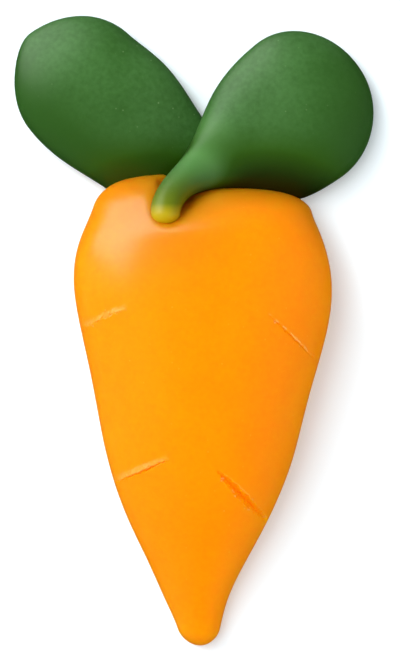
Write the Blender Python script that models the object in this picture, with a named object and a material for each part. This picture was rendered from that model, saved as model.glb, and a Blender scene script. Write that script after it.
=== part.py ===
"""A marzipan carrot, the decoration that lies on a slice of carrot cake.

It is modelled by hand from soft coloured marzipan: an orange root, rolled to a blunt tip and scored with a
knife, and two green leaves. Everything lies on the board, and the right leaf's stalk is pressed into a
notch in the crown. Lengths are in millimetres until a vertex is made. +Y runs from the tip to the leaves,
+X to the right, +Z up, and the origin is on the board under the middle of the whole.
"""

import math

import bmesh
import bpy
import numpy as np
from mathutils import Vector
from mathutils.bvhtree import BVHTree

MM = 0.001

# How a soft lump sits: where its widest line is, as a share of its height, and how far it would sink into
# the board if the board gave way, which is sliced off and leaves the flat underside.
WIDEST_LINE_SHARE = 0.32
ROOT_SINK = 0.8
LEAF_SINK = 0.5
TOP_FULLNESS = 2.15
UNDERSIDE_FULLNESS = 2.4
CONTACT_GAP = 0.3

# The root. Each row gives the distance from the tip, how far the sides reach left and right of the middle
# line, and the height of the top.
ROOT_LENGTH = 44.9
ROOT_TIP_Y = -30.0
ROOT_MIDDLE_X = 0.6
ROOT_ROWS = (
    (0.0, 1.75, 1.60, 3.1),
    (1.7, 2.25, 1.95, 3.6),
    (4.5, 3.45, 2.70, 4.9),
    (8.3, 5.12, 4.52, 6.9),
    (12.1, 6.88, 6.50, 8.7),
    (17.8, 8.80, 8.77, 10.7),
    (23.5, 9.95, 10.28, 11.9),
    (29.2, 11.15, 11.87, 12.7),
    (33.9, 12.00, 12.52, 13.0),
    (38.6, 11.47, 11.65, 12.6),
    (42.4, 10.04, 10.60, 11.7),
    (44.9, 9.90, 11.00, 10.8),
)
ROOT_TIP_ROUNDING = 1.6
CROWN_PLAN_ROUNDING = 3.1
CROWN_TOP_ROUNDING = 6.4
CROWN_UNDERSIDE_ROUNDING = 3.0
CROWN_PLAN_SQUARENESS = 3.7
CROWN_SIDE_SQUARENESS = 2.3

# The notch in the crown's rim where the leaf stalk crosses it, the bed that the stalk lies in, and how far
# the crown's right lobe is set back from its left one.
NOTCH_X = -2.2
NOTCH_DEPTH = 1.6
NOTCH_HALF_WIDTH_LEFT = 0.6
NOTCH_HALF_WIDTH_RIGHT = 1.8
NOTCH_REACH = 6.0
BED_X = -2.55
BED_HALF_WIDTH = 0.7
BED_DEPTH = 1.1
BED_FADES_FROM = 3.2
BED_FADES_TO = 5.6
RIGHT_LOBE_SET_BACK = 1.25
RIGHT_LOBE_FROM_X = -3.0
RIGHT_LOBE_TO_X = -0.8

# The leaves. Each row gives the middle line's X and Y, the reach to the left and right of it as seen from
# the stalk, the height of the underside and the height of the top.
LEFT_LEAF_ROWS = (
    (-1.04, 13.15, 4.20, 6.00, 0.0, 2.6),
    (-3.79, 15.77, 4.55, 6.55, 0.0, 3.6),
    (-7.87, 19.70, 5.65, 7.65, 0.0, 4.9),
    (-11.94, 23.61, 5.70, 7.35, 0.0, 5.2),
    (-15.55, 28.40, 3.80, 8.00, 0.0, 4.4),
)
RIGHT_LEAF_ROWS = (
    (-2.72, 9.70, 1.50, 1.50, 9.2, 12.2),
    (-2.60, 11.50, 1.50, 1.45, 8.5, 11.9),
    (-1.80, 13.15, 1.55, 1.50, 6.3, 10.5),
    (-0.25, 14.58, 1.95, 1.90, 3.2, 8.6),
    (1.52, 15.62, 3.25, 3.10, 0.7, 6.8),
    (4.36, 17.28, 5.55, 6.00, 0.0, 5.5),
    (9.76, 20.74, 7.60, 7.52, 0.0, 5.5),
    (16.00, 24.72, 8.00, 7.35, 0.0, 5.0),
)
LEFT_LEAF_STALK_ROUNDING = 3.0
LEFT_LEAF_BLADE_ROUNDING = 6.5
RIGHT_LEAF_STALK_ROUNDING = 1.3
RIGHT_LEAF_BLADE_ROUNDING = 7.3

# The knife scores in the root: where each starts and ends in plan, how wide it opens and how deep it goes.
SCORES = (
    ("score_upper_left", (-10.70, 0.55), (-6.30, 2.45), 0.35, 0.30),
    ("score_upper_right", (6.80, 1.70), (11.45, -2.75), 0.32, 0.35),
    ("score_lower_left", (-7.40, -14.25), (-2.40, -12.00), 0.50, 0.55),
    ("score_lower_right", (2.30, -13.35), (7.00, -18.00), 0.55, 0.80),
)
SCORE_SECTIONS = 12
BLADE_STANDS_OUT = 0.6
ABOVE_EVERYTHING = 30

# How finely the solids are faceted.
ROOT_RINGS = 46
ROOT_SIDES = 56
LEAF_RINGS = 28
LEAF_SIDES = 32
SMOOTH_BELOW_DEGREES = 35
DIRECTION_STEP = 0.005

MARZIPAN_ORANGE = (1.0, 0.33, 0.004)
MARZIPAN_GREEN = (0.052, 0.165, 0.032)
MARZIPAN_ROUGHNESS = 0.45


def clear_scene():
    for thing in list(bpy.data.objects):
        bpy.data.objects.remove(thing)


def bell(offset):
    return math.exp(-offset * offset / 2)


def smoothstep(low, high, value):
    share = min(1.0, max(0.0, (value - low) / (high - low)))
    return share * share * (3 - 2 * share)


def rounded(distance, rounding, squareness=2.0):
    """How full a lump is at this distance from its end: 0 at the end and 1 past its rounding."""
    if distance >= rounding:
        return 1.0
    return (1 - (1 - distance / rounding) ** 2) ** (1 / squareness)


def spline(knots, values):
    """A natural cubic spline through values at knots, one column of values at a time, as a function."""
    knots, values = np.asarray(knots, float), np.asarray(values, float)
    step = np.diff(knots)
    slope = np.diff(values, axis=0) / step[:, None]
    system = np.eye(len(knots))
    right = np.zeros_like(values)
    for i in range(1, len(knots) - 1):
        system[i, i - 1 : i + 2] = step[i - 1], 2 * (step[i - 1] + step[i]), step[i]
        right[i] = 6 * (slope[i] - slope[i - 1])
    bend = np.linalg.solve(system, right)

    def at(where):
        i = int(np.clip(np.searchsorted(knots, where) - 1, 0, len(step) - 1))
        a, b = knots[i + 1] - where, where - knots[i]
        ends = (bend[i] * a**3 + bend[i + 1] * b**3) / (6 * step[i])
        left = (values[i] / step[i] - bend[i] * step[i] / 6) * a
        return ends + left + (values[i + 1] / step[i] - bend[i + 1] * step[i] / 6) * b

    return at


def section(middle, across, reach_left, reach_right, low, widest, high, sides):
    """The points of one upright section through a lump, anticlockwise as seen from its far end."""
    points = []
    for k in range(sides):
        turn = 2 * math.pi * k / sides
        side, rise = math.cos(turn), math.sin(turn)
        fullness = TOP_FULLNESS if rise >= 0 else UNDERSIDE_FULLNESS
        out = math.copysign(abs(side) ** (2 / fullness), side)
        up = math.copysign(abs(rise) ** (2 / fullness), rise)
        reach = reach_right if out >= 0 else reach_left
        depth = high - widest if up >= 0 else widest - low
        points.append((*(middle + across * reach * out), widest + depth * up))
    return points


def loft(sections):
    """A closed mesh over the sections, whose points are in millimetres. A strip from the upper half of an end
    section to its lower half closes that end."""
    mesh = bmesh.new()
    rings = [[mesh.verts.new(Vector(p) * MM) for p in points] for points in sections]
    for near, far in zip(rings, rings[1:]):
        for k in range(len(near)):
            j = (k + 1) % len(near)
            mesh.faces.new((near[k], near[j], far[j], far[k]))
    for ring in (rings[0], rings[-1]):
        for k in range(len(ring) // 2):
            corners = (ring[k], ring[k + 1], ring[-k - 1], ring[-k])
            mesh.faces.new(tuple(dict.fromkeys(corners)))
    bmesh.ops.recalc_face_normals(mesh, faces=mesh.faces)
    return mesh


def lump(rows, rings, sides, sink, fullness_at):
    """A soft lump along the middle line of its rows. fullness_at gives, for the distance along that line and
    its whole length, how full the plan, the top and the underside are, each from 0 at an end to 1."""
    rows = np.asarray(rows, float)
    chords = np.linalg.norm(np.diff(rows[:, :2], axis=0), axis=1)
    along = np.concatenate([[0.0], np.cumsum(chords)])
    length = along[-1]
    at = spline(along, rows)
    sections = []
    for i in range(rings):
        distance = length * (1 - math.cos(math.pi * (i + 0.5) / rings)) / 2
        row = at(distance)
        ahead = at(distance + DIRECTION_STEP)[:2] - at(distance - DIRECTION_STEP)[:2]
        across = np.array((ahead[1], -ahead[0])) / np.linalg.norm(ahead)
        plan, top, under = fullness_at(distance, length)
        widest = row[4] + WIDEST_LINE_SHARE * (row[5] - row[4])
        low = widest - (widest - row[4] + sink) * under
        high = widest + (row[5] - widest) * top
        sections.append(section(row[:2], across, row[2] * plan, row[3] * plan, low, widest, high, sides))
    return loft(sections)


def slice_on_board(mesh):
    """Cuts off what would lie below the board, and closes the cut with one flat face."""
    everything = mesh.verts[:] + mesh.edges[:] + mesh.faces[:]
    down = (0, 0, -1)
    cut = bmesh.ops.bisect_plane(mesh, geom=everything, plane_co=(0, 0, 0), plane_no=down, clear_outer=True)
    rim = [e for e in cut["geom_cut"] if isinstance(e, bmesh.types.BMEdge)]
    bmesh.ops.holes_fill(mesh, edges=rim)
    bmesh.ops.recalc_face_normals(mesh, faces=mesh.faces)


def press_crown(mesh):
    """Presses the stalk's notch and its bed into the crown above its widest line, and sets its right lobe
    back."""
    crown_y = ROOT_TIP_Y + ROOT_LENGTH
    widest_z = ROOT_ROWS[-1][3] * WIDEST_LINE_SHARE
    for vertex in mesh.verts:
        x, y, z = vertex.co / MM
        depth_in = crown_y - y
        raised = smoothstep(widest_z, 2 * widest_z, z)
        half_width = NOTCH_HALF_WIDTH_LEFT if x < NOTCH_X else NOTCH_HALF_WIDTH_RIGHT
        push = NOTCH_DEPTH * bell((x - NOTCH_X) / half_width) * raised
        push += RIGHT_LOBE_SET_BACK * smoothstep(RIGHT_LOBE_FROM_X, RIGHT_LOBE_TO_X, x)
        y -= push * (1 - smoothstep(0, NOTCH_REACH, depth_in))
        bed = BED_DEPTH * bell((x - BED_X) / BED_HALF_WIDTH) * raised
        z -= bed * (1 - smoothstep(BED_FADES_FROM, BED_FADES_TO, depth_in))
        vertex.co = Vector((x, y, z)) * MM


def root_fullness(distance, length):
    from_tip, from_crown = distance, length - distance
    tip = rounded(from_tip, ROOT_TIP_ROUNDING)
    plan = rounded(from_crown, CROWN_PLAN_ROUNDING, CROWN_PLAN_SQUARENESS)
    return (
        tip * plan,
        tip * rounded(from_crown, CROWN_TOP_ROUNDING, CROWN_SIDE_SQUARENESS),
        tip * rounded(from_crown, CROWN_UNDERSIDE_ROUNDING, CROWN_SIDE_SQUARENESS),
    )


def leaf_fullness(stalk_rounding, blade_rounding):
    def fullness(distance, length):
        both = rounded(distance, stalk_rounding) * rounded(length - distance, blade_rounding)
        return both, both, both

    return fullness


def paint(name, colour):
    material = bpy.data.materials.new(name)
    material.use_nodes = True
    shader = material.node_tree.nodes["Principled BSDF"]
    shader.inputs["Base Color"].default_value = (*colour, 1.0)
    shader.inputs["Roughness"].default_value = MARZIPAN_ROUGHNESS
    shader.inputs["Metallic"].default_value = 0.0
    return material


def place(name, mesh, material=None):
    """Makes the mesh an object of the scene."""
    data = bpy.data.meshes.new(name)
    mesh.to_mesh(data)
    thing = bpy.data.objects.new(name, data)
    bpy.context.scene.collection.objects.link(thing)
    if material:
        data.materials.append(material)
        data.shade_smooth()
        data.set_sharp_from_angle(angle=math.radians(SMOOTH_BELOW_DEGREES))
    return thing


def hide_cutter(thing):
    thing.hide_render = True
    thing.display_type = "WIRE"
    return thing


def cut_with(thing, cutter):
    modifier = thing.modifiers.new(cutter.name, "BOOLEAN")
    modifier.operation = "DIFFERENCE"
    modifier.solver = "EXACT"
    modifier.object = cutter


def grown_cutter(name, mesh):
    """The mesh grown by the gap that a neighbour keeps to it, as a cutter."""
    grown = mesh.copy()
    grown.normal_update()
    for vertex, normal in [(v, v.normal.copy()) for v in grown.verts]:
        vertex.co += normal * CONTACT_GAP * MM
    cutter = hide_cutter(place(name, grown))
    grown.free()
    return cutter


def score_cutter(name, start, end, width, depth, surface):
    """A knife's wedge, laid on the root's surface from start to end, narrowing to nothing at both ends."""
    start, end = Vector(start), Vector(end)
    sections = []
    for i in range(1, SCORE_SECTIONS):
        share = i / SCORE_SECTIONS
        above = start.lerp(end, share).to_3d() + Vector((0, 0, ABOVE_EVERYTHING))
        point, normal, _, _ = surface.ray_cast(above * MM, Vector((0, 0, -1)))
        point = point / MM
        side = normal.cross((end - start).to_3d().normalized()).normalized()
        bite = math.sin(math.pi * share) ** 0.5
        open_by = side * width * bite * (1 + BLADE_STANDS_OUT / depth) / 2
        lifted = point + normal * BLADE_STANDS_OUT
        sections.append((lifted - open_by, lifted + open_by, point - normal * depth * bite))
    mesh = loft(sections)
    cutter = hide_cutter(place(name, mesh))
    mesh.free()
    return cutter


def main():
    clear_scene()
    orange = paint("marzipan_orange", MARZIPAN_ORANGE)
    green = paint("marzipan_green", MARZIPAN_GREEN)

    root_rows = [
        (ROOT_MIDDLE_X, ROOT_TIP_Y + from_tip, left, right, 0.0, top)
        for from_tip, left, right, top in ROOT_ROWS
    ]
    root_mesh = lump(root_rows, ROOT_RINGS, ROOT_SIDES, ROOT_SINK, root_fullness)
    press_crown(root_mesh)
    slice_on_board(root_mesh)
    surface = BVHTree.FromBMesh(root_mesh)
    body = place("carrot_body", root_mesh, orange)
    for name, start, end, width, depth in SCORES:
        cut_with(body, score_cutter(name, start, end, width, depth, surface))

    right_fullness = leaf_fullness(RIGHT_LEAF_STALK_ROUNDING, RIGHT_LEAF_BLADE_ROUNDING)
    right_mesh = lump(RIGHT_LEAF_ROWS, LEAF_RINGS, LEAF_SIDES, LEAF_SINK, right_fullness)
    slice_on_board(right_mesh)
    left_fullness = leaf_fullness(LEFT_LEAF_STALK_ROUNDING, LEFT_LEAF_BLADE_ROUNDING)
    left_mesh = lump(LEFT_LEAF_ROWS, LEAF_RINGS, LEAF_SIDES, LEAF_SINK, left_fullness)
    slice_on_board(left_mesh)

    body_space = grown_cutter("body_space", root_mesh)
    right_leaf_space = grown_cutter("right_leaf_space", right_mesh)
    right_leaf = place("leaf_right", right_mesh, green)
    cut_with(right_leaf, body_space)
    left_leaf = place("leaf_left", left_mesh, green)
    cut_with(left_leaf, body_space)
    cut_with(left_leaf, right_leaf_space)


main()
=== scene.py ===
"""The looks of the marzipan carrot: its three hand-modelled pieces again, finer, with torn knife scores,
crumbs and marzipan, on a white board under soft light from the upper left, seen from straight above.

Lengths are in millimetres until a vertex, a light or the camera is placed.
"""

import math
import random

import bmesh
import bpy
import numpy as np
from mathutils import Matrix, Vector, noise
from mathutils.bvhtree import BVHTree


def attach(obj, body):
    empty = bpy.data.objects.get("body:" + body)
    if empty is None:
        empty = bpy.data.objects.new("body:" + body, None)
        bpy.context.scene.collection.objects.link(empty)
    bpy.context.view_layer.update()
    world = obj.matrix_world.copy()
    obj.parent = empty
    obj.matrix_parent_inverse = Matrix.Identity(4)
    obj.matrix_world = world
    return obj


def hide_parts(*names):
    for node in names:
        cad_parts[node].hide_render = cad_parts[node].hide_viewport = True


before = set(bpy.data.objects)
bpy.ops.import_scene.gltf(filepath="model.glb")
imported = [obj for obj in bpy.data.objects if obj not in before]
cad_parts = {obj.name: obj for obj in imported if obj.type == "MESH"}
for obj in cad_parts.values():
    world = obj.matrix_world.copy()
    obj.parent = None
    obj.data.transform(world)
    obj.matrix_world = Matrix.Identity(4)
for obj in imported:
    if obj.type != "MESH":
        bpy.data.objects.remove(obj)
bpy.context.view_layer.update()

MM = 0.001

# How a soft lump sits, as in the solids.
WIDEST_LINE_SHARE = 0.32
ROOT_SINK = 0.8
LEAF_SINK = 0.5
TOP_FULLNESS = 2.15
UNDERSIDE_FULLNESS = 2.4

# The root. Each row gives the distance from the tip, how far the sides reach left and right of the middle
# line, and the height of the top.
ROOT_LENGTH = 44.9
ROOT_TIP_Y = -30.0
ROOT_MIDDLE_X = 0.6
ROOT_ROWS = (
    (0.0, 1.75, 1.60, 3.1),
    (1.7, 2.25, 1.95, 3.6),
    (4.5, 3.45, 2.70, 4.9),
    (8.3, 5.12, 4.52, 6.9),
    (12.1, 6.88, 6.50, 8.7),
    (17.8, 8.80, 8.77, 10.7),
    (23.5, 9.95, 10.28, 11.9),
    (29.2, 11.15, 11.87, 12.7),
    (33.9, 12.00, 12.52, 13.0),
    (38.6, 11.47, 11.65, 12.6),
    (42.4, 10.04, 10.60, 11.7),
    (44.9, 9.90, 11.00, 10.8),
)
ROOT_TIP_ROUNDING = 1.6
CROWN_PLAN_ROUNDING = 3.1
CROWN_TOP_ROUNDING = 6.4
CROWN_UNDERSIDE_ROUNDING = 3.0
CROWN_PLAN_SQUARENESS = 3.7
CROWN_SIDE_SQUARENESS = 2.3

# The notch in the crown's rim where the leaf stalk crosses it, the bed that the stalk lies in, and how far
# the crown's right lobe is set back from its left one.
NOTCH_X = -2.2
NOTCH_DEPTH = 1.6
NOTCH_HALF_WIDTH_LEFT = 0.6
NOTCH_HALF_WIDTH_RIGHT = 1.8
NOTCH_REACH = 6.0
BED_X = -2.55
BED_HALF_WIDTH = 0.7
BED_DEPTH = 1.1
BED_FADES_FROM = 3.2
BED_FADES_TO = 5.6
RIGHT_LOBE_SET_BACK = 1.25
RIGHT_LOBE_FROM_X = -3.0
RIGHT_LOBE_TO_X = -0.8

# The leaves. Each row gives the middle line's X and Y, the reach to the left and right of it as seen from
# the stalk, the height of the underside and the height of the top.
LEFT_LEAF_ROWS = (
    (-1.04, 13.15, 4.20, 6.00, 0.0, 2.6),
    (-3.79, 15.77, 4.55, 6.55, 0.0, 3.6),
    (-7.87, 19.70, 5.65, 7.65, 0.0, 4.9),
    (-11.94, 23.61, 5.70, 7.35, 0.0, 5.2),
    (-15.55, 28.40, 3.80, 8.00, 0.0, 4.4),
)
RIGHT_LEAF_ROWS = (
    (-2.72, 9.70, 1.50, 1.50, 9.2, 12.2),
    (-2.60, 11.50, 1.50, 1.45, 8.5, 11.9),
    (-1.80, 13.15, 1.55, 1.50, 6.3, 10.5),
    (-0.25, 14.58, 1.95, 1.90, 3.2, 8.6),
    (1.52, 15.62, 3.25, 3.10, 0.7, 6.8),
    (4.36, 17.28, 5.55, 6.00, 0.0, 5.5),
    (9.76, 20.74, 7.60, 7.52, 0.0, 5.5),
    (16.00, 24.72, 8.00, 7.35, 0.0, 5.0),
)
LEFT_LEAF_STALK_ROUNDING = 3.0
LEFT_LEAF_BLADE_ROUNDING = 6.5
RIGHT_LEAF_STALK_ROUNDING = 1.3
RIGHT_LEAF_BLADE_ROUNDING = 7.3

# How finely the pieces are meshed, and how far the hands' unevenness dents them.
ROOT_RINGS = 200
ROOT_SIDES = 220
LEAF_RINGS = 130
LEAF_SIDES = 120
DIRECTION_STEP = 0.005
SMOOTH_BELOW_DEGREES = 50
HAND_DENTS = ((9.0, 0.10), (3.2, 0.03))

# The knife scores: how wide and deep each groove is, how wide the torn lip beside it is and how far it
# rises, how jagged both run, how pale the lip is, and how patchy. Lips lie to the left of the way from
# start to end.
SCORES = (
    dict(
        start=(-10.55, 0.25), end=(-6.10, 2.20), groove=0.12, depth=0.10, lip=0.42, rise=0.05,
        jag=0.20, pale=0.28, patchy=0.50,
    ),
    dict(
        start=(6.80, 1.70), end=(11.35, -2.65), groove=0.15, depth=0.15, lip=0.20, rise=0.06,
        jag=0.10, pale=0.50, patchy=1.0,
    ),
    dict(
        start=(-7.40, -14.30), end=(-2.20, -12.00), groove=0.20, depth=0.24, lip=0.56, rise=0.08,
        jag=0.10, pale=0.28, patchy=0.50,
    ),
    dict(
        start=(2.15, -13.10), end=(6.95, -17.95), groove=0.90, depth=0.42, lip=0.12, rise=0.02,
        jag=0.10, pale=0.12, patchy=0.90,
    ),
)
SCORE_STEPS = 120
SCORE_REFINES_WITHIN = 0.9
SCORE_REFINES_ABOVE_Z = 1
SCORE_CUTS = 5
ABOVE_EVERYTHING = 30

# The torn edges: how dense their coarse and fine jags are, and how much the fine ones count; how dense the
# patches of a lip are, and the noise between which they set in; how dense its grain is, its mean and its
# swing; over which share of a lip its paleness fades; and the low lip on a groove's other side.
JAGS_COARSE = 2.6
JAGS_FINE = 8.0
JAGS_FINE_SHARE = 0.8
PATCHES = 2.2
PATCHES_SET_IN = (-0.2, 0.15)
LIP_GRAIN = 6.0
LIP_GRAIN_MEAN = 0.85
LIP_GRAIN_SWING = 0.6
PALE_FADES_FROM = 0.6
PALE_FADES_TO = 1.1
OTHER_LIP_RISE_SHARE = 0.3
OTHER_LIP_WIDTH = 0.2

# Where crumbs lie that the knife tore off: X and Y, how many, and how far they are strewn.
CRUMB_SPOTS = (
    (2.55, -13.90, 3, 0.20),
    (3.70, -15.20, 3, 0.18),
    (5.50, -15.75, 1, 0.05),
    (4.85, -16.65, 3, 0.18),
    (6.60, -17.60, 2, 0.12),
    (2.75, -16.90, 1, 0.05),
    (7.70, 0.75, 3, 0.16),
    (8.45, 0.15, 1, 0.05),
    (9.85, -1.25, 2, 0.12),
    (-9.90, 0.80, 3, 0.25),
    (-7.90, 1.60, 2, 0.20),
)
CRUMB_SEED = 4
CRUMB_RADII = (0.05, 0.10)
CRUMB_SHAPES = 50
CRUMB_ROUGHNESS = 0.5
CRUMB_LUMPS = 1.4
CRUMB_HEIGHT_SHARE = 0.5
CRUMB_PALE = 0.3

# Painted shade where the pieces touch: how strong it is, how far it reaches and up to which height it goes.
ROOT_SEAM_SHADE_LEFT = (0.35, 3.0, 12.5)
ROOT_SEAM_SHADE_RIGHT = (0.6, 8.5, 12.5)
LEFT_LEAF_SEAM_SHADE = (0.65, 5.0, 5.0)
RIGHT_LEAF_SEAM_SHADE = (1.0, 7.0, 4.9)
SEAM_SHADE_FADES_OVER = 1.9

# Painted shade on one flank of each leaf: the way that the shaded flank faces, how dark it is, and the slopes
# over which it sets in.
LEFT_LEAF_FLANK_SHADE = (235, 0.95)
RIGHT_LEAF_FLANK_SHADE = (-35, 0.85)
FLANK_SHADE_SLOPE = (-0.25, 0.4)

# The middle of the neck, where light is painted on as a lighter green, and how far that painted light goes;
# where the stalk thins out over the orange; and where the leaf's blade begins beside it.
NECK_PAINTED_LIGHT_MIDDLE = (0.3, 16.8)
NECK_PAINTED_LIGHT_REACH = 5.5
STALK_THIN_BELOW_Y = 10.0
STALK_GREEN_ABOVE_Y = 15.8
STALK_ENDS_X = (-0.8, 1.2)

# The marzipan, per millimetre: how dense the drift and the mottle of its two tones, its pale grains and its
# finest unevenness are. The tones blend between two sums of drift and mottle. A grain fades from its middle
# to its rim, only the brightest are shown, and softly. The finest unevenness is a bump of this depth.
DRIFT = 0.16
MOTTLE = 2.2
TONES_BLEND = (0.75, 1.25)
GRAINS = 1.5
GRAIN_RIM = 0.16
GRAIN_MIDDLE = 0.08
GRAINS_SHOWN = (0.8, 0.95)
GRAIN_STRENGTH = 0.35
UNEVENNESS = 5.0
UNEVENNESS_STRENGTH = 0.12
UNEVENNESS_DEPTH = 0.05

# How rough whole and torn orange paste and the green paste are, and how much light sinks into whole orange
# paste. The paler it tore, the less sinks in, and none does from this paleness on.
ORANGE_ROUGHNESS = 0.32
TORN_ROUGHNESS = 0.8
GREEN_ROUGHNESS = 0.48
ORANGE_SCATTER = 0.85
TORN_FROM_PALE = 0.5

# The camera looks straight down through a long lens. The photograph is 658 pixels high.
PHOTO_HEIGHT_PX = 658
MM_PER_PX = 60.0 / 633.0
PHOTO_MIDDLE = (0.57, 0.17)
SILHOUETTE_Z = 3.0
LENS = 300
SENSOR_HEIGHT = 36

# The white board, its half width in metres, and how far it lies under the carrot.
BOARD_HALF_WIDTH = 1.5
BOARD_GAP = 0.02
BOARD_COLOUR = (0.85, 0.95, 1.0, 1)
BOARD_GLOW = 0.11
BOARD_ROUGHNESS = 0.6

# The light tent: how far its lamps are in metres, how bright the world beyond them is, and the way, power
# and elevation of each of its sides.
LAMP_DISTANCE = 0.5
WORLD_STRENGTH = 0.05
TENT_SIDES = ((0, 0.85), (45, 0.1), (135, 0.9), (225, 0.85), (315, 0.85))
TENT_ELEVATION = 31


def bell(offset):
    return math.exp(-offset * offset / 2)


def smoothstep(low, high, value):
    share = min(1.0, max(0.0, (value - low) / (high - low)))
    return share * share * (3 - 2 * share)


def rounded(distance, rounding, squareness=2.0):
    """How full a lump is at this distance from its end: 0 at the end and 1 past its rounding."""
    if distance >= rounding:
        return 1.0
    return (1 - (1 - distance / rounding) ** 2) ** (1 / squareness)


def spline(knots, values):
    """A natural cubic spline through values at knots, one column of values at a time, as a function."""
    knots, values = np.asarray(knots, float), np.asarray(values, float)
    step = np.diff(knots)
    slope = np.diff(values, axis=0) / step[:, None]
    system = np.eye(len(knots))
    right = np.zeros_like(values)
    for i in range(1, len(knots) - 1):
        system[i, i - 1 : i + 2] = step[i - 1], 2 * (step[i - 1] + step[i]), step[i]
        right[i] = 6 * (slope[i] - slope[i - 1])
    bend = np.linalg.solve(system, right)

    def at(where):
        i = int(np.clip(np.searchsorted(knots, where) - 1, 0, len(step) - 1))
        a, b = knots[i + 1] - where, where - knots[i]
        ends = (bend[i] * a**3 + bend[i + 1] * b**3) / (6 * step[i])
        left = (values[i] / step[i] - bend[i] * step[i] / 6) * a
        return ends + left + (values[i + 1] / step[i] - bend[i + 1] * step[i] / 6) * b

    return at


def section(middle, across, reach_left, reach_right, low, widest, high, sides):
    """The points of one upright section through a lump, anticlockwise as seen from its far end."""
    points = []
    for k in range(sides):
        turn = 2 * math.pi * k / sides
        side, rise = math.cos(turn), math.sin(turn)
        fullness = TOP_FULLNESS if rise >= 0 else UNDERSIDE_FULLNESS
        out = math.copysign(abs(side) ** (2 / fullness), side)
        up = math.copysign(abs(rise) ** (2 / fullness), rise)
        reach = reach_right if out >= 0 else reach_left
        depth = high - widest if up >= 0 else widest - low
        points.append((*(middle + across * reach * out), widest + depth * up))
    return points


def loft(sections):
    """A closed mesh over the sections, in millimetres. A strip from the upper half of an end section to its
    lower half closes that end."""
    mesh = bmesh.new()
    rings = [[mesh.verts.new(p) for p in points] for points in sections]
    for near, far in zip(rings, rings[1:]):
        for k in range(len(near)):
            j = (k + 1) % len(near)
            mesh.faces.new((near[k], near[j], far[j], far[k]))
    for ring in (rings[0], rings[-1]):
        for k in range(len(ring) // 2):
            corners = (ring[k], ring[k + 1], ring[-k - 1], ring[-k])
            mesh.faces.new(tuple(dict.fromkeys(corners)))
    bmesh.ops.recalc_face_normals(mesh, faces=mesh.faces)
    return mesh


def lump(rows, rings, sides, sink, fullness_at):
    """A soft lump along the middle line of its rows. fullness_at gives, for the distance along that line and
    its whole length, how full the plan, the top and the underside are, each from 0 at an end to 1."""
    rows = np.asarray(rows, float)
    chords = np.linalg.norm(np.diff(rows[:, :2], axis=0), axis=1)
    along = np.concatenate([[0.0], np.cumsum(chords)])
    length = along[-1]
    at = spline(along, rows)
    sections = []
    for i in range(rings):
        distance = length * (1 - math.cos(math.pi * (i + 0.5) / rings)) / 2
        row = at(distance)
        ahead = at(distance + DIRECTION_STEP)[:2] - at(distance - DIRECTION_STEP)[:2]
        across = np.array((ahead[1], -ahead[0])) / np.linalg.norm(ahead)
        plan, top, under = fullness_at(distance, length)
        widest = row[4] + WIDEST_LINE_SHARE * (row[5] - row[4])
        low = widest - (widest - row[4] + sink) * under
        high = widest + (row[5] - widest) * top
        sections.append(section(row[:2], across, row[2] * plan, row[3] * plan, low, widest, high, sides))
    return loft(sections)


def slice_on_board(mesh):
    """Cuts off what would lie below the board, and closes the cut with one flat face."""
    everything = mesh.verts[:] + mesh.edges[:] + mesh.faces[:]
    down = (0, 0, -1)
    cut = bmesh.ops.bisect_plane(mesh, geom=everything, plane_co=(0, 0, 0), plane_no=down, clear_outer=True)
    rim = [e for e in cut["geom_cut"] if isinstance(e, bmesh.types.BMEdge)]
    bmesh.ops.holes_fill(mesh, edges=rim)
    bmesh.ops.recalc_face_normals(mesh, faces=mesh.faces)


def press_crown(mesh):
    """Presses the stalk's notch and its bed into the crown above its widest line, and sets its right lobe
    back."""
    crown_y = ROOT_TIP_Y + ROOT_LENGTH
    widest_z = ROOT_ROWS[-1][3] * WIDEST_LINE_SHARE
    for vertex in mesh.verts:
        x, y, z = vertex.co
        depth_in = crown_y - y
        raised = smoothstep(widest_z, 2 * widest_z, z)
        half_width = NOTCH_HALF_WIDTH_LEFT if x < NOTCH_X else NOTCH_HALF_WIDTH_RIGHT
        push = NOTCH_DEPTH * bell((x - NOTCH_X) / half_width) * raised
        push += RIGHT_LOBE_SET_BACK * smoothstep(RIGHT_LOBE_FROM_X, RIGHT_LOBE_TO_X, x)
        y -= push * (1 - smoothstep(0, NOTCH_REACH, depth_in))
        bed = BED_DEPTH * bell((x - BED_X) / BED_HALF_WIDTH) * raised
        z -= bed * (1 - smoothstep(BED_FADES_FROM, BED_FADES_TO, depth_in))
        vertex.co = (x, y, z)


def root_fullness(distance, length):
    from_tip, from_crown = distance, length - distance
    tip = rounded(from_tip, ROOT_TIP_ROUNDING)
    plan = rounded(from_crown, CROWN_PLAN_ROUNDING, CROWN_PLAN_SQUARENESS)
    return (
        tip * plan,
        tip * rounded(from_crown, CROWN_TOP_ROUNDING, CROWN_SIDE_SQUARENESS),
        tip * rounded(from_crown, CROWN_UNDERSIDE_ROUNDING, CROWN_SIDE_SQUARENESS),
    )


def leaf_fullness(stalk_rounding, blade_rounding):
    def fullness(distance, length):
        both = rounded(distance, stalk_rounding) * rounded(length - distance, blade_rounding)
        return both, both, both

    return fullness


def dent_by_hand(mesh, seed):
    """Presses shallow, soft dents in, as hands leave them. They only go inwards."""
    mesh.normal_update()
    moves = []
    for vertex in mesh.verts:
        dent = sum(
            depth * (0.5 + 0.5 * noise.noise(vertex.co / size + Vector((seed, 0, 0))))
            for size, depth in HAND_DENTS
        )
        moves.append(vertex.normal * dent)
    for vertex, move in zip(mesh.verts, moves):
        vertex.co -= move


def make_leaf(rows, stalk_rounding, blade_rounding, seed):
    leaf = lump(rows, LEAF_RINGS, LEAF_SIDES, LEAF_SINK, leaf_fullness(stalk_rounding, blade_rounding))
    dent_by_hand(leaf, seed)
    slice_on_board(leaf)
    return leaf


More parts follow.
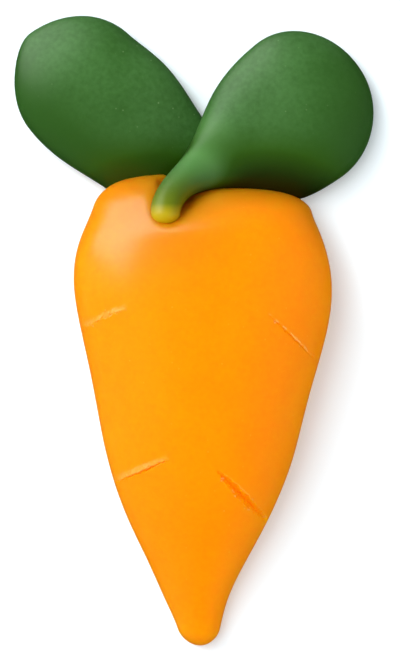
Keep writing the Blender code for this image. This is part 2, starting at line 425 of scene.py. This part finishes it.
class Score:
    """One knife score: its way over the root's surface, and the relief that it leaves beside that way."""

    def __init__(self, surface, start, end, groove, depth, lip, rise, jag, pale, patchy):
        self.groove, self.depth, self.lip, self.rise = groove, depth, lip, rise
        self.jag, self.pale, self.patchy = jag, pale, patchy
        start, end = Vector(start), Vector(end)
        self.ahead = (end - start).to_3d().normalized()
        self.points, self.normals = [], []
        for i in range(SCORE_STEPS + 1):
            spot = start.lerp(end, i / SCORE_STEPS).to_3d()
            above = spot + Vector((0, 0, ABOVE_EVERYTHING))
            point, normal, _, _ = surface.ray_cast(above, Vector((0, 0, -1)))
            if point is None:
                point, normal, _, _ = surface.find_nearest(spot + Vector((0, 0, SILHOUETTE_Z)))
            self.points.append(point)
            self.normals.append(normal)
        self.array = np.array([p[:] for p in self.points])

    def nearest(self, point):
        """The nearest step of the way, and how far off it the point is."""
        gaps = np.linalg.norm(self.array - np.array(point[:]), axis=1)
        step = int(np.argmin(gaps))
        return step, gaps[step]

    def relief(self, point):
        """How the knife moved the surface at this point, as a vector, and how pale it tore."""
        step, _ = self.nearest(point)
        normal = self.normals[step]
        side = normal.cross(self.ahead).normalized()
        share = step / SCORE_STEPS
        bite = math.sqrt(max(0.0, math.sin(math.pi * share)))
        ragged = noise.noise(point * JAGS_COARSE) + JAGS_FINE_SHARE * noise.noise(point * JAGS_FINE)
        off = (point - self.points[step]).dot(side) + self.jag * ragged
        half = self.groove * bite / 2
        lift, pale = 0.0, 0.0
        if half > 0 and abs(off) < half:
            lift = -self.depth * bite * (1 - abs(off) / half)
        if off > half:
            ramp = 1 - smoothstep(0, self.lip, off - half)
            torn = 1 - self.patchy * (1 - smoothstep(*PATCHES_SET_IN, noise.noise(point * PATCHES)))
            torn *= LIP_GRAIN_MEAN + LIP_GRAIN_SWING * noise.noise(point * LIP_GRAIN)
            lift += self.rise * bite * ramp * torn
            fades = smoothstep(PALE_FADES_FROM * self.lip, PALE_FADES_TO * self.lip, off - half)
            pale = self.pale * bite * (1 - fades) * torn
        if off < -half:
            other = 1 - smoothstep(0, OTHER_LIP_WIDTH, -half - off)
            lift += OTHER_LIP_RISE_SHARE * self.rise * bite * other
        return normal * lift, pale


def score_root(mesh):
    """Refines the mesh round each score, lowers its groove, raises its lip and marks how pale it tore."""
    surface = BVHTree.FromBMesh(mesh)
    scores = [Score(surface, **score) for score in SCORES]
    near = set()
    for face in mesh.faces:
        middle = face.calc_center_median()
        gap = min(score.nearest(middle)[1] for score in scores)
        if middle.z > SCORE_REFINES_ABOVE_Z and gap < SCORE_REFINES_WITHIN:
            near.update(face.edges)
    bmesh.ops.subdivide_edges(mesh, edges=list(near), cuts=SCORE_CUTS, use_grid_fill=True)
    pale_layer = mesh.verts.layers.float.new("pale")
    for vertex in mesh.verts:
        if vertex.co.z < SCORE_REFINES_ABOVE_Z:
            continue
        for score in scores:
            if score.nearest(vertex.co)[1] < SCORE_REFINES_WITHIN:
                move, pale = score.relief(vertex.co.copy())
                vertex.co += move
                vertex[pale_layer] = max(vertex[pale_layer], pale)


def make_crumbs(surface):
    """The crumbs that the knife tore off, small rough lumps that lie on the root, as one mesh."""
    draw = random.Random(CRUMB_SEED)
    mesh = bmesh.new()
    for x, y, count, strewn in CRUMB_SPOTS:
        for _ in range(count):
            above = Vector((x + draw.gauss(0, strewn), y + draw.gauss(0, strewn), ABOVE_EVERYTHING))
            point, normal, _, _ = surface.ray_cast(above, Vector((0, 0, -1)))
            radius = draw.uniform(*CRUMB_RADII)
            shape_seed = Vector((draw.uniform(0, CRUMB_SHAPES), 0, 0))
            for vertex in bmesh.ops.create_icosphere(mesh, subdivisions=2, radius=1)["verts"]:
                rough = 1 + CRUMB_ROUGHNESS * noise.noise(vertex.co * CRUMB_LUMPS + shape_seed)
                offset = vertex.co * rough * radius
                offset -= normal * offset.dot(normal) * (1 - CRUMB_HEIGHT_SHARE)
                vertex.co = point + normal * radius * CRUMB_HEIGHT_SHARE / 2 + offset
    layer = mesh.verts.layers.float.new("pale")
    for vertex in mesh.verts:
        vertex[layer] = CRUMB_PALE
    return mesh


def painted_seam_shade(mesh, neighbour, strength, reach, fades_above):
    """Marks painted shade from the neighbour: how far the paste is darkened, most where it touches, and not
    where the paste stands out above the seam."""
    tree = BVHTree.FromBMesh(neighbour)
    # This mark holds painted shade along the seam.
    layer = mesh.verts.layers.float.get("painted_seam_shade") or mesh.verts.layers.float.new("painted_seam_shade")
    for vertex in mesh.verts:
        gap = tree.find_nearest(vertex.co)[3]
        in_seam = 1 - smoothstep(fades_above, fades_above + SEAM_SHADE_FADES_OVER, vertex.co.z)
        vertex[layer] = max(vertex[layer], strength * in_seam * (1 - smoothstep(0, reach, gap)))


def mark_flank_shade(mesh, towards, strength):
    """Marks the flank that faces this way, in degrees from +X, where shade is painted in as a deeper colour.
    """
    mesh.normal_update()
    turn = math.radians(towards)
    way = Vector((math.cos(turn), math.sin(turn), 0))
    # This mark holds painted shade on the flank.
    layer = mesh.verts.layers.float.new("deep")
    for vertex in mesh.verts:
        vertex[layer] = strength * smoothstep(*FLANK_SHADE_SLOPE, vertex.normal.dot(way))


def mark_thin_stalk_and_neck_light(mesh):
    """Marks where light is painted on the neck as a lighter colour, and where the stalk thins out over the
    orange, which shines through it."""
    thin = mesh.verts.layers.float.new("thin")
    # This mark holds painted light on the neck.
    neck_painted_light = mesh.verts.layers.float.new("stretched")
    for vertex in mesh.verts:
        over_root = 1 - smoothstep(STALK_THIN_BELOW_Y, STALK_GREEN_ABOVE_Y, vertex.co.y)
        vertex[thin] = over_root * (1 - smoothstep(*STALK_ENDS_X, vertex.co.x))
        vertex[neck_painted_light] = 1 - smoothstep(0, NECK_PAINTED_LIGHT_REACH, (vertex.co.xy - Vector(NECK_PAINTED_LIGHT_MIDDLE)).length)


def place(name, mesh, material):
    """Makes the mesh an object of the scene, in metres, that rides on the part."""
    for vertex in mesh.verts:
        vertex.co *= MM
    data = bpy.data.meshes.new(name)
    mesh.to_mesh(data)
    mesh.free()
    data.materials.append(material)
    data.shade_smooth()
    data.set_sharp_from_angle(angle=math.radians(SMOOTH_BELOW_DEGREES))
    thing = bpy.data.objects.new(name, data)
    bpy.context.scene.collection.objects.link(thing)
    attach(thing, "root")
    return thing


# Materials


def add(tree, kind, inputs=None, **settings):
    """A shader node with these settings. An input is a value, or the socket that feeds it."""
    made = tree.nodes.new("ShaderNode" + kind)
    for name, value in settings.items():
        setattr(made, name, value)
    for name, value in (inputs or {}).items():
        if isinstance(value, bpy.types.NodeSocket):
            tree.links.new(value, made.inputs[name])
        else:
            made.inputs[name].default_value = value
    return made


def srgb(red, green, blue):
    """A colour as a screen gives it, from 0 to 255, in linear light."""
    channels = []
    for level in (red / 255, green / 255, blue / 255):
        channels.append(level / 12.92 if level <= 0.04045 else ((level + 0.055) / 1.055) ** 2.4)
    return (*channels, 1.0)


def blended(tree, share, first, second):
    """A colour between first and second."""
    mix = add(tree, "Mix", data_type="RGBA")
    for socket, value in ((mix.inputs[0], share), (mix.inputs[6], first), (mix.inputs[7], second)):
        if isinstance(value, bpy.types.NodeSocket):
            tree.links.new(value, socket)
        else:
            socket.default_value = value
    return mix.outputs[2]


def stretched(tree, value, low, high, to_low=0.0, to_high=1.0):
    """The value, with the range from low to high spread over the range from to_low to to_high."""
    spread = add(tree, "MapRange", {"Value": value, "From Min": low, "From Max": high})
    spread.inputs["To Min"].default_value = to_low
    spread.inputs["To Max"].default_value = to_high
    return spread.outputs["Result"]


def mark(tree, name):
    """The mark of this name that the mesh carries, from 0 to 1."""
    return add(tree, "Attribute", attribute_name=name).outputs["Fac"]


def marzipan(name, deep, light, fleck, sheen, scatter, scatter_radius):
    """Smooth sugar paste: two tones that drift into each other, fine pale grains of sugar and almond, a soft
    sheen, and light that sinks in. Returns the material, its tree, colour socket and shader."""
    material = bpy.data.materials.new(name)
    material.use_nodes = True
    tree = material.node_tree
    shader = tree.nodes["Principled BSDF"]
    place_in = add(tree, "TexCoord").outputs["Object"]
    scaled = add(tree, "Mapping", {"Vector": place_in, "Scale": (1 / MM, 1 / MM, 1 / MM)}).outputs[0]
    drift = add(tree, "TexNoise", {"Vector": scaled, "Scale": DRIFT, "Detail": 2.0}).outputs["Fac"]
    mottle = add(tree, "TexNoise", {"Vector": scaled, "Scale": MOTTLE, "Detail": 3.0}).outputs["Fac"]
    tones = add(tree, "Math", {0: drift, 1: mottle}, operation="ADD").outputs[0]
    colour = blended(tree, stretched(tree, tones, *TONES_BLEND), deep, light)
    grains = add(tree, "TexVoronoi", {"Vector": scaled, "Scale": GRAINS, "Randomness": 1.0})
    speck = stretched(tree, grains.outputs["Distance"], GRAIN_RIM, GRAIN_MIDDLE)
    brightness = add(tree, "SeparateColor", {"Color": grains.outputs["Color"]}).outputs[0]
    chosen = stretched(tree, brightness, *GRAINS_SHOWN)
    shown = add(tree, "Math", {0: speck, 1: chosen}, operation="MULTIPLY").outputs[0]
    softly = add(tree, "Math", {0: shown, 1: GRAIN_STRENGTH}, operation="MULTIPLY").outputs[0]
    colour = blended(tree, softly, colour, fleck)
    fine = add(tree, "TexNoise", {"Vector": scaled, "Scale": UNEVENNESS, "Detail": 4.0}).outputs["Fac"]
    shader.inputs["Subsurface Weight"].default_value = scatter
    shader.inputs["Subsurface Radius"].default_value = scatter_radius
    shader.inputs["Subsurface Scale"].default_value = MM
    shader.inputs["Specular IOR Level"].default_value = sheen
    depth = {"Strength": UNEVENNESS_STRENGTH, "Distance": UNEVENNESS_DEPTH * MM}
    bump = add(tree, "Bump", {"Height": fine, **depth})
    tree.links.new(bump.outputs[0], shader.inputs["Normal"])
    return material, tree, colour, shader


def orange_marzipan():
    """Orange marzipan, with painted shade in amber beside the leaves, and paler and rougher where a knife
    tore it.
    """
    material, tree, colour, shader = marzipan(
        "orange_marzipan",
        deep=srgb(248, 141, 0),
        light=srgb(249, 148, 0),
        fleck=srgb(248, 185, 80),
        sheen=0.6,
        scatter=ORANGE_SCATTER,
        scatter_radius=(6.0, 3.0, 0.4),
    )
    # Painted shade: amber where the root meets the leaves.
    colour = blended(tree, mark(tree, "painted_seam_shade"), colour, srgb(170, 115, 10))
    pale = mark(tree, "pale")
    colour = blended(tree, pale, colour, srgb(255, 205, 120))
    tree.links.new(colour, shader.inputs["Base Color"])
    rough = stretched(tree, pale, 0, 1, ORANGE_ROUGHNESS, TORN_ROUGHNESS)
    tree.links.new(rough, shader.inputs["Roughness"])
    sinks_in = stretched(tree, pale, 0, TORN_FROM_PALE, ORANGE_SCATTER, 0)
    tree.links.new(sinks_in, shader.inputs["Subsurface Weight"])
    return material


def green_marzipan():
    """Green marzipan, with painted shade on one flank, painted shade in dark olive beside the root, painted
    light on the neck, and yellow where the stalk is thin over the orange."""
    material, tree, colour, shader = marzipan(
        "green_marzipan",
        deep=srgb(46, 89, 32),
        light=srgb(59, 104, 47),
        fleck=srgb(130, 165, 110),
        sheen=0.38,
        scatter=0.15,
        scatter_radius=(0.4, 0.7, 0.2),
    )
    # Painted shade: a deeper green on the flank that faces away from the light.
    colour = blended(tree, mark(tree, "deep"), colour, srgb(36, 78, 16))
    # Painted light: a lighter green on the neck.
    colour = blended(tree, mark(tree, "stretched"), colour, srgb(82, 132, 66))
    thin = mark(tree, "thin")
    # Painted shade: dark olive beside the root, less where the stalk is thin.
    deep_shade = add(tree, "Math", {0: 1.0, 1: thin}, operation="SUBTRACT", use_clamp=True).outputs[0]
    deep_shade = add(tree, "Math", {0: deep_shade, 1: mark(tree, "painted_seam_shade")}, operation="MULTIPLY").outputs[0]
    colour = blended(tree, stretched(tree, deep_shade, 0, 0.45), colour, srgb(38, 78, 2))
    colour = blended(tree, stretched(tree, deep_shade, 0.35, 1), colour, srgb(14, 22, 0))
    colour = blended(tree, stretched(tree, thin, 0, 0.75), colour, srgb(98, 114, 0))
    colour = blended(tree, stretched(tree, thin, 0.75, 1), colour, srgb(186, 158, 0))
    tree.links.new(colour, shader.inputs["Base Color"])
    shader.inputs["Roughness"].default_value = GREEN_ROUGHNESS
    return material


# Stage


def make_floor():
    mesh = bmesh.new()
    bmesh.ops.create_grid(mesh, x_segments=1, y_segments=1, size=BOARD_HALF_WIDTH)
    data = bpy.data.meshes.new("board")
    mesh.to_mesh(data)
    mesh.free()
    board = bpy.data.objects.new("board", data)
    bpy.context.scene.collection.objects.link(board)
    board.location.z = -BOARD_GAP * MM
    board.visible_glossy = False
    material = bpy.data.materials.new("board_white")
    material.use_nodes = True
    shader = material.node_tree.nodes["Principled BSDF"]
    shader.inputs["Base Color"].default_value = BOARD_COLOUR
    shader.inputs["Emission Color"].default_value = (1, 1, 1, 1)
    shader.inputs["Emission Strength"].default_value = BOARD_GLOW
    shader.inputs["Roughness"].default_value = BOARD_ROUGHNESS
    data.materials.append(material)


def lamp(name, azimuth, elevation, size, power, shades=True):
    """A square soft lamp that faces the carrot. Azimuth 0 is +X, and it turns towards +Y. It either shades
    the forms or glints in the paste's sheen."""
    light = bpy.data.lights.new(name, "AREA")
    light.shape = "SQUARE"
    light.size = size
    light.energy = power
    thing = bpy.data.objects.new(name, light)
    flat = math.cos(math.radians(elevation))
    turn = math.radians(azimuth)
    way = Vector((math.cos(turn) * flat, math.sin(turn) * flat, math.sin(math.radians(elevation))))
    thing.location = way * LAMP_DISTANCE
    thing.rotation_euler = way.to_track_quat("Z", "Y").to_euler()
    thing.visible_diffuse = shades
    thing.visible_glossy = not shades
    bpy.context.scene.collection.objects.link(thing)


def make_light():
    world = bpy.data.worlds.new("studio")
    world.use_nodes = True
    background = world.node_tree.nodes["Background"]
    background.inputs["Color"].default_value = (1, 1, 1, 1)
    background.inputs["Strength"].default_value = WORLD_STRENGTH
    world.cycles_visibility.glossy = False
    bpy.context.scene.world = world
    lamp("key", azimuth=138, elevation=36, size=0.26, power=1.35)
    lamp("overhead", azimuth=145, elevation=66, size=0.3, power=1.4)
    lamp("glint", azimuth=135, elevation=12, size=0.6, power=4.0, shades=False)
    lamp("tent_top", azimuth=0, elevation=90, size=0.5, power=0.4)
    for turn, power in TENT_SIDES:
        lamp(f"tent_{turn}", azimuth=turn, elevation=TENT_ELEVATION, size=0.5, power=power)
    view = bpy.context.scene.view_settings
    view.view_transform = "Standard"
    view.look = "None"


def make_camera():
    data = bpy.data.cameras.new("camera")
    data.sensor_fit = "VERTICAL"
    data.sensor_height = SENSOR_HEIGHT
    data.lens = LENS
    camera = bpy.data.objects.new("camera", data)
    view_height = PHOTO_HEIGHT_PX * MM_PER_PX
    distance = view_height * LENS / SENSOR_HEIGHT
    camera.location = Vector((*PHOTO_MIDDLE, SILHOUETTE_Z + distance)) * MM
    data.clip_start = 0.01
    bpy.context.scene.collection.objects.link(camera)
    bpy.context.scene.camera = camera


def main():
    orange, green = orange_marzipan(), green_marzipan()
    root_rows = [
        (ROOT_MIDDLE_X, ROOT_TIP_Y + from_tip, left, right, 0.0, top)
        for from_tip, left, right, top in ROOT_ROWS
    ]
    root = lump(root_rows, ROOT_RINGS, ROOT_SIDES, ROOT_SINK, root_fullness)
    press_crown(root)
    dent_by_hand(root, seed=1)
    slice_on_board(root)
    left = make_leaf(LEFT_LEAF_ROWS, LEFT_LEAF_STALK_ROUNDING, LEFT_LEAF_BLADE_ROUNDING, seed=5)
    right = make_leaf(RIGHT_LEAF_ROWS, RIGHT_LEAF_STALK_ROUNDING, RIGHT_LEAF_BLADE_ROUNDING, seed=9)
    # Painted shade along the seams between the pieces.
    painted_seam_shade(left, root, *LEFT_LEAF_SEAM_SHADE)
    painted_seam_shade(right, root, *RIGHT_LEAF_SEAM_SHADE)
    painted_seam_shade(root, left, *ROOT_SEAM_SHADE_LEFT)
    painted_seam_shade(root, right, *ROOT_SEAM_SHADE_RIGHT)
    # Painted shade on one flank of each leaf.
    mark_flank_shade(left, *LEFT_LEAF_FLANK_SHADE)
    mark_flank_shade(right, *RIGHT_LEAF_FLANK_SHADE)
    # Painted light on the neck, and the thin stalk's yellow.
    mark_thin_stalk_and_neck_light(right)
    score_root(root)
    crumbs = make_crumbs(BVHTree.FromBMesh(root))
    for name, mesh, material, node, slot in (
        ("root_marzipan", root, orange, "carrot_body", "orange_marzipan"),
        ("left_leaf_marzipan", left, green, "leaf_left", "green_marzipan"),
        ("right_leaf_marzipan", right, green, "leaf_right", "green_marzipan"),
    ):
        piece = place(name, mesh, material)
        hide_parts(node)
    place("crumbs", crumbs, orange)

    make_floor()
    make_light()
    make_camera()


main()
